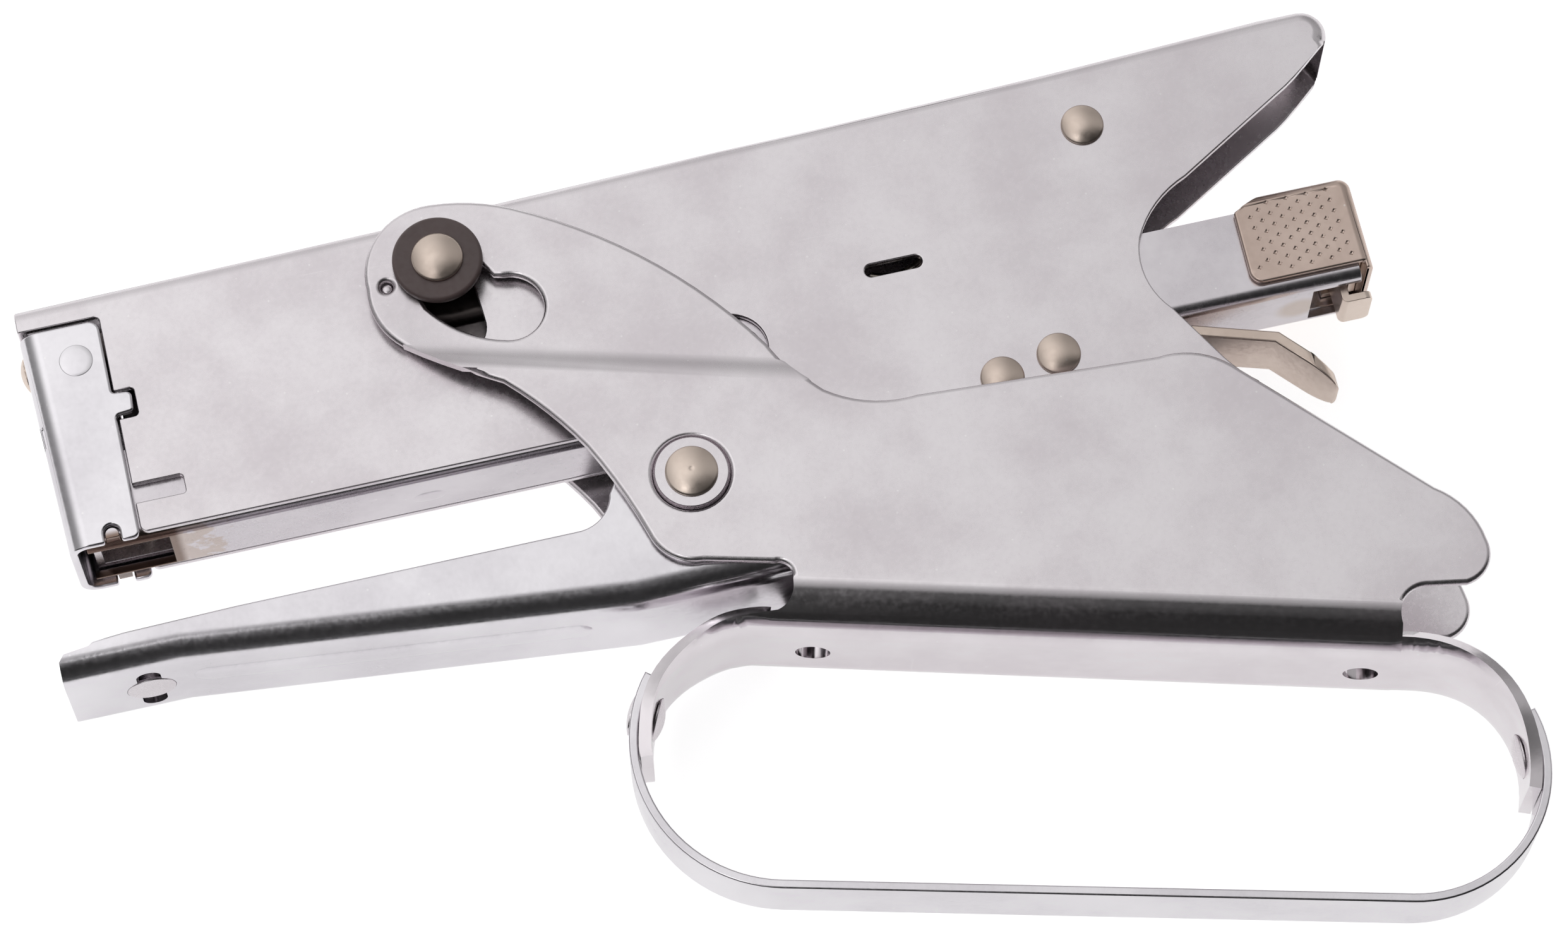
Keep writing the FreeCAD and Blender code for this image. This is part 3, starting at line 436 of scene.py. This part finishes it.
# ---------------------------------------------------------------- turned pieces
# rivets: node, shank radius, head height, depth of the punch mark
RIVETS = (("driver_pivot_rivet", 1.8, 1.1, 0.0), ("latch_pivot_rivet", 1.2, 1.1, 0.0),
          ("lower_frame_rivet", 1.4, 1.1, 0.0), ("roller_axle", 2.0, 1.2, 0.0),
          ("handle_pivot_rivet", 2.0, 1.1, 0.12))
LATHE_STEPS = 64
RIM_ROUND = 0.12
RIM_STEP = 0.04
DOME_STEPS = 14
PUNCH_R = 0.16
# pressed disc on each cheek of the nose cover, and its radius and height points
DISC = (-82.4, 30.6, 7.68)
DISC_PROFILE = ((0.0, 0.0), (2.15, 0.0), (2.0, 0.04), (1.7, 0.09), (1.4, 0.11), (0.0, 0.12))
# pale pin that shows in the small hole of each lobe
LOBE_PIN = (-43.2, 30.9, 8.7)
LOBE_PIN_PROFILE = ((0.62, -0.5), (0.62, 0.0), (0.52, 0.08), (0.0, 0.1))


def lathe(bm, centre, axis, profile):
    """Turn (radius, height) points, in mm, about axis; ends at radius 0 close it."""
    turn = ACROSS.rotation_difference(axis)
    rings = []
    for radius, height in profile:
        if radius < 1e-6:
            point = turn @ Vector((0.0, 0.0, height)) * MM
            rings.append([bm.verts.new(centre + point)])
            continue
        ring = []
        for i in range(LATHE_STEPS):
            a = 2.0 * math.pi * i / LATHE_STEPS
            point = Vector((radius * math.cos(a), radius * math.sin(a), height)) * MM
            ring.append(bm.verts.new(centre + turn @ point))
        rings.append(ring)
    for low, high in zip(rings, rings[1:]):
        for i in range(LATHE_STEPS):
            j = (i + 1) % LATHE_STEPS
            corners = [low[i % len(low)], low[j % len(low)],
                       high[j % len(high)], high[i % len(high)]]
            distinct = list(dict.fromkeys(corners))
            if len(distinct) > 2:
                bm.faces.new(distinct)


def head_profile(radius, height, shank, base, punch):
    """Domed head with a rounded rim, from the shank at base up to the crown."""
    rim = 0.25 * height
    cap = height - rim
    ball = (radius * radius + cap * cap) / (2.0 * cap)
    points = [(shank, base), (radius - RIM_ROUND, base), (radius, base + RIM_ROUND)]
    for i in range(DOME_STEPS + 1):
        r = (radius - RIM_STEP) * (1.0 - i / DOME_STEPS)
        top = base + height - ball + math.sqrt(ball * ball - r * r)
        dip = punch * math.exp(-(r / PUNCH_R) ** 2)
        points.append((r, top - dip))
    return points


def turn_rivets():
    """Finely turned rivets in the place and size of the CAD ones."""
    for name, shank, height, punch in RIVETS:
        low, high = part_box(name)
        radius = (high.x - low.x) / 2 / MM
        half = (high.z - low.z) / 2 / MM
        side = head_profile(radius, height, shank, half - height, punch)
        whole = [(r, -h) for r, h in reversed(side)] + side
        bm = bmesh.new()
        lathe(bm, (low + high) / 2, ACROSS, whole)
        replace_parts(add_piece(name + "_turned", bm, name), name)


def turn_on_cheeks(name, node, place, profile):
    """The same small turned piece on both sides of the tool."""
    x, y, z = place
    for side, word in SIDES:
        bm = bmesh.new()
        lathe(bm, spot(x, y, side * z), side * ACROSS, profile)
        add_piece(name + "_" + word, bm, node)


# ---------------------------------------------------------------- pressed beads
# each strip: start, end, half width and height; then its rows and columns of faces
ARM_BEAD = (((-76.0, -10.73, 1.7), (-27.5, -15.81, 1.3), 2.1, 0.45),)
# dark strips along the lower edge of the arm's bead, thin in the middle and wider at its ends:
# painted shade where the bead's edge is shaded
ARM_PAINTED_SHADE = (((-74.6, -10.88, -0.1), (-30.0, -15.55, -0.7), 0.09, 0.1),
              ((-74.6, -10.88, -0.1), (-71.8, -11.17, 0.1), 0.3, 0.1),
              ((-33.5, -15.18, -0.6), (-29.4, -15.61, -0.6), 0.22, 0.1))
CHANNEL_BEAD = (((-45.5, CHANNEL_Y, -0.7), (-41.3, CHANNEL_Y, -0.7), 1.6, 0.2),)
BEAD_SINK = 0.02


def bead(bm, start, end, half, height, out, rows, columns):
    """Long low bead between two points: half its width, rounded ends, on a flat face."""
    along = (end - start).normalized()
    length = (end - start).length / MM
    grid = []
    for i in range(columns + 1):
        u = length * (0.5 - 0.5 * math.cos(math.pi * i / columns))
        to_end = min(u, length - u)
        w = half if to_end > half else math.sqrt(max(0.0, half ** 2 - (half - to_end) ** 2))
        row = []
        for j in range(rows + 1):
            t = 2.0 * j / rows - 1.0
            inside = max(0.0, 1.0 - (abs(t) ** 3))
            rise = height * inside * min(1.0, w / half)
            place = start + (along * u + ACROSS * (t * w) + out * (rise - BEAD_SINK)) * MM
            row.append(bm.verts.new(place))
        grid.append(row)
    for low, high in zip(grid, grid[1:]):
        for j in range(rows):
            bm.faces.new((low[j], low[j + 1], high[j + 1], high[j]))
    bmesh.ops.remove_doubles(bm, verts=bm.verts, dist=1e-7)
    bmesh.ops.recalc_face_normals(bm, faces=bm.faces)


def press_beads(name, node, strips, out, rows, columns, material=None):
    bm = bmesh.new()
    for start, end, half, height in strips:
        bead(bm, spot(*start), spot(*end), half, height, out, rows, columns)
    add_piece(name, bm, node, material)


# ---------------------------------------------------------------- pits of the end cap
# half width of the cap and depth of a pit; size of its plug above and at the bottom
CAP_HALF = 7.0
PIT_DEPTH = 0.16
PLUG_ABOVE = 0.05
PLUG_TOP = 0.85
PLUG_BOTTOM = 0.65
# middle of the pattern, and the steps from pit to pit and from row to row
PIT_MIDDLE = (69.0, 14.0)
PIT_STEP = (1.36, -0.75)
ROW_STEP = (0.16, -1.52)
PIT_COUNT = 12
PIT_CORNERS = ((0.5, 0.12), (-0.05, 0.4), (-0.5, -0.12), (0.05, -0.4))
# the part of the cheek that is pitted, which stays clear of the cap's cut corner
PITTED_X = (62.9, 75.0)
PITTED_Y = (9.4, 19.0)
CUT_CORNER = (61.7, 18.1)
CUT_RISE = 0.47
CUT_MARGIN = 0.9
CRISP = math.radians(35.0)


def plug(bm, x, y, side):
    rings = []
    for height, size in ((CAP_HALF + PLUG_ABOVE, PLUG_TOP), (CAP_HALF - PIT_DEPTH, PLUG_BOTTOM)):
        ring = [bm.verts.new(spot(x + size * u, y + size * v, side * height))
                for u, v in PIT_CORNERS]
        rings.append(ring)
        bm.faces.new(ring)
    for k in range(4):
        n = (k + 1) % 4
        bm.faces.new((rings[0][k], rings[0][n], rings[1][n], rings[1][k]))


def pit_cutter():
    """Small four-sided plugs in leaning rows, over the flat cheeks of the end cap."""
    bm = bmesh.new()
    for i in range(-PIT_COUNT, PIT_COUNT + 1):
        for j in range(-PIT_COUNT, PIT_COUNT + 1):
            x = PIT_MIDDLE[0] + PIT_STEP[0] * i + ROW_STEP[0] * j
            y = PIT_MIDDLE[1] + PIT_STEP[1] * i + ROW_STEP[1] * j
            cut = CUT_CORNER[1] + (x - CUT_CORNER[0]) * CUT_RISE - CUT_MARGIN
            if PITTED_X[0] < x < PITTED_X[1] and PITTED_Y[0] < y < min(PITTED_Y[1], cut):
                for side, _ in SIDES:
                    plug(bm, x, y, side)
    bmesh.ops.recalc_face_normals(bm, faces=bm.faces)
    return bm


def press_pits(piece, cutter):
    """Take the plugs of cutter out of a piece, for good."""
    data = bpy.data.meshes.new("plugs")
    cutter.to_mesh(data)
    cutter.free()
    plugs = bpy.data.objects.new("plugs", data)
    bpy.context.scene.collection.objects.link(plugs)
    cut = piece.modifiers.new("cut", "BOOLEAN")
    cut.operation = "DIFFERENCE"
    cut.solver = "EXACT"
    cut.object = plugs
    state = bpy.context.evaluated_depsgraph_get()
    pressed = bpy.data.meshes.new_from_object(piece.evaluated_get(state))
    piece.modifiers.clear()
    piece.data = pressed
    pressed.set_sharp_from_angle(angle=CRISP)
    bpy.data.objects.remove(plugs)
    shade_evenly(piece)


# ---------------------------------------------------------------- table and light
FLOOR_HALF = 3.0
FLOOR_GAP = 0.05 * MM
FLOOR_COLOUR = grey(0.86)
FLOOR_GLOW = 0.75
GLOW_CHANGE_IN_METAL = -0.2
# seen in metal, the table turns dark beyond these Y: a painted dark reflection, which only rays
# from the metal see
REFLECTED_DARK_Y = (-0.092, -0.072)
REFLECTED_DARK_COLOUR = (0.04, 0.04, 0.045, 1.0)
# brightness by degrees from the +Y horizon over the top to the -Y horizon
SKY = ((0.0, 0.66), (25.0, 0.68), (50.0, 0.84), (70.0, 0.96), (82.0, 0.94), (93.0, 0.42),
       (105.0, 0.07), (135.0, 0.02), (180.0, 0.03))
SKY_LEAST = 0.02
SKY_TO_CAMERA = grey(0.93)
# change of brightness with X, its level at X = 0, and its limits
SLANT = -1.25
SLANT_LEVEL = 1.06
SLANT_LEAST = 0.5
SLANT_MOST = 1.2
KEY_PLACE = (-0.26, -0.24, 0.85)
KEY_SIZE = 0.16
KEY_POWER = 0.16


def make_floor():
    data = bpy.data.meshes.new("floor")
    half = FLOOR_HALF
    corners = [(-half, -half, 0.0), (half, -half, 0.0), (half, half, 0.0), (-half, half, 0.0)]
    data.from_pydata([Vector(c) for c in corners], [], [(0, 1, 2, 3)])
    floor = bpy.data.objects.new("floor", data)
    floor.location = (CENTRE.x, CENTRE.y, LOW.z - FLOOR_GAP)
    bpy.context.scene.collection.objects.link(floor)
    material, n, shader = new_material("pale_table")
    _, y, _ = n.axes(n.place())
    glossy = n.add("LightPath").outputs["Is Glossy Ray"]
    # painted reflection: rays from the metal see the table dark past these Y, and the rest of it
    # glowing less
    far = n.math("MULTIPLY", n.remap(y, *REFLECTED_DARK_Y, 1.0, 0.0), glossy)
    n.set(shader, "Base Color", n.mix(far, FLOOR_COLOUR, REFLECTED_DARK_COLOUR))
    n.set(shader, "Roughness", 0.9)
    n.set(shader, "Specular IOR Level", 0.1)
    n.set(shader, "Emission Color", grey(1.0))
    glow = n.math("MULTIPLY_ADD", glossy, GLOW_CHANGE_IN_METAL, FLOOR_GLOW)
    n.set(shader, "Emission Strength", n.math("MULTIPLY", glow, n.math("SUBTRACT", 1.0, far)))
    data.materials.append(material)


def make_world():
    world = bpy.data.worlds.new("studio")
    world.use_nodes = True
    bpy.context.scene.world = world
    n = Nodes(world.node_tree)
    background = world.node_tree.nodes["Background"]
    x, y, z = n.axes(n.add("TexCoord").outputs["Generated"])
    # angle from the +Y horizon over the top to the -Y horizon, as a share of half a turn
    turn = n.math("DIVIDE", n.math("ARCTAN2", z, y), math.pi)
    # the bright part reaches lower in front on the nose side than on the tail side
    reach = n.math("MULTIPLY", n.remap(x, -0.30, -0.15, 0.22, 0.0),
                   n.remap(turn, 0.36, 0.62, 0.0, 1.0))
    turn = n.math("SUBTRACT", turn, reach, clamp=True)
    ramp = n.add("ValToRGB", Fac=turn)
    bands = ramp.color_ramp
    bands.interpolation = "EASE"
    while len(bands.elements) < len(SKY):
        bands.elements.new(0.5)
    for element, (degrees, level) in zip(bands.elements, SKY):
        element.position = degrees / 180.0
        element.color = grey(level)
    slant = n.math("ADD", n.math("MULTIPLY", x, SLANT), SLANT_LEVEL)
    slant = n.math("MAXIMUM", n.math("MINIMUM", slant, SLANT_MOST), SLANT_LEAST)
    # darker at the far left
    left = n.remap(x, -0.85, -0.35, 0.3, 1.0)
    value = n.math("MULTIPLY", n.math("MULTIPLY", ramp.outputs[0], slant), left)
    value = n.math("MAXIMUM", value, SKY_LEAST)
    seen = n.add("LightPath").outputs["Is Camera Ray"]
    light = n.add("CombineColor", Red=value, Green=value, Blue=value).outputs[0]
    n.set(background, "Color", n.mix(seen, light, SKY_TO_CAMERA))
    n.set(background, "Strength", 1.0)


def make_key():
    """One small lamp above the nose side, aimed at the tool."""
    data = bpy.data.lights.new("key", "AREA")
    data.shape = "DISK"
    data.size = KEY_SIZE
    data.energy = KEY_POWER
    lamp = bpy.data.objects.new("key", data)
    lamp.location = CENTRE + Vector(KEY_PLACE)
    lamp.rotation_mode = "QUATERNION"
    lamp.rotation_quaternion = (CENTRE - lamp.location).to_track_quat("-Z", "Y")
    bpy.context.scene.collection.objects.link(lamp)


# ---------------------------------------------------------------- the whole scene
soften_nodes([rivet[0] for rivet in RIVETS])
turn_rivets()
turn_on_cheeks("cover_disc", "nose_cover", DISC, DISC_PROFILE)
press_pits(bpy.data.objects["end_cap_soft"], pit_cutter())
press_beads("arm_bead", "anvil_arm", ARM_BEAD, ARM_OUT, 10, 60)
# dark strips of painted shade along the lower edge of the arm's bead
press_beads("arm_bead_painted_shade", "anvil_arm", ARM_PAINTED_SHADE, ARM_OUT, 4, 40, MATERIALS["dark_steel"])
turn_on_cheeks("lobe_pin", "handle_shell", LOBE_PIN, LOBE_PIN_PROFILE)
press_beads("channel_bead", "magazine_channel", CHANNEL_BEAD, CHANNEL_OUT, 10, 24,
            NODE_MATERIALS["magazine_channel"])
make_camera()
make_floor()
make_world()
make_key()
bpy.context.scene.view_settings.view_transform = "Standard"
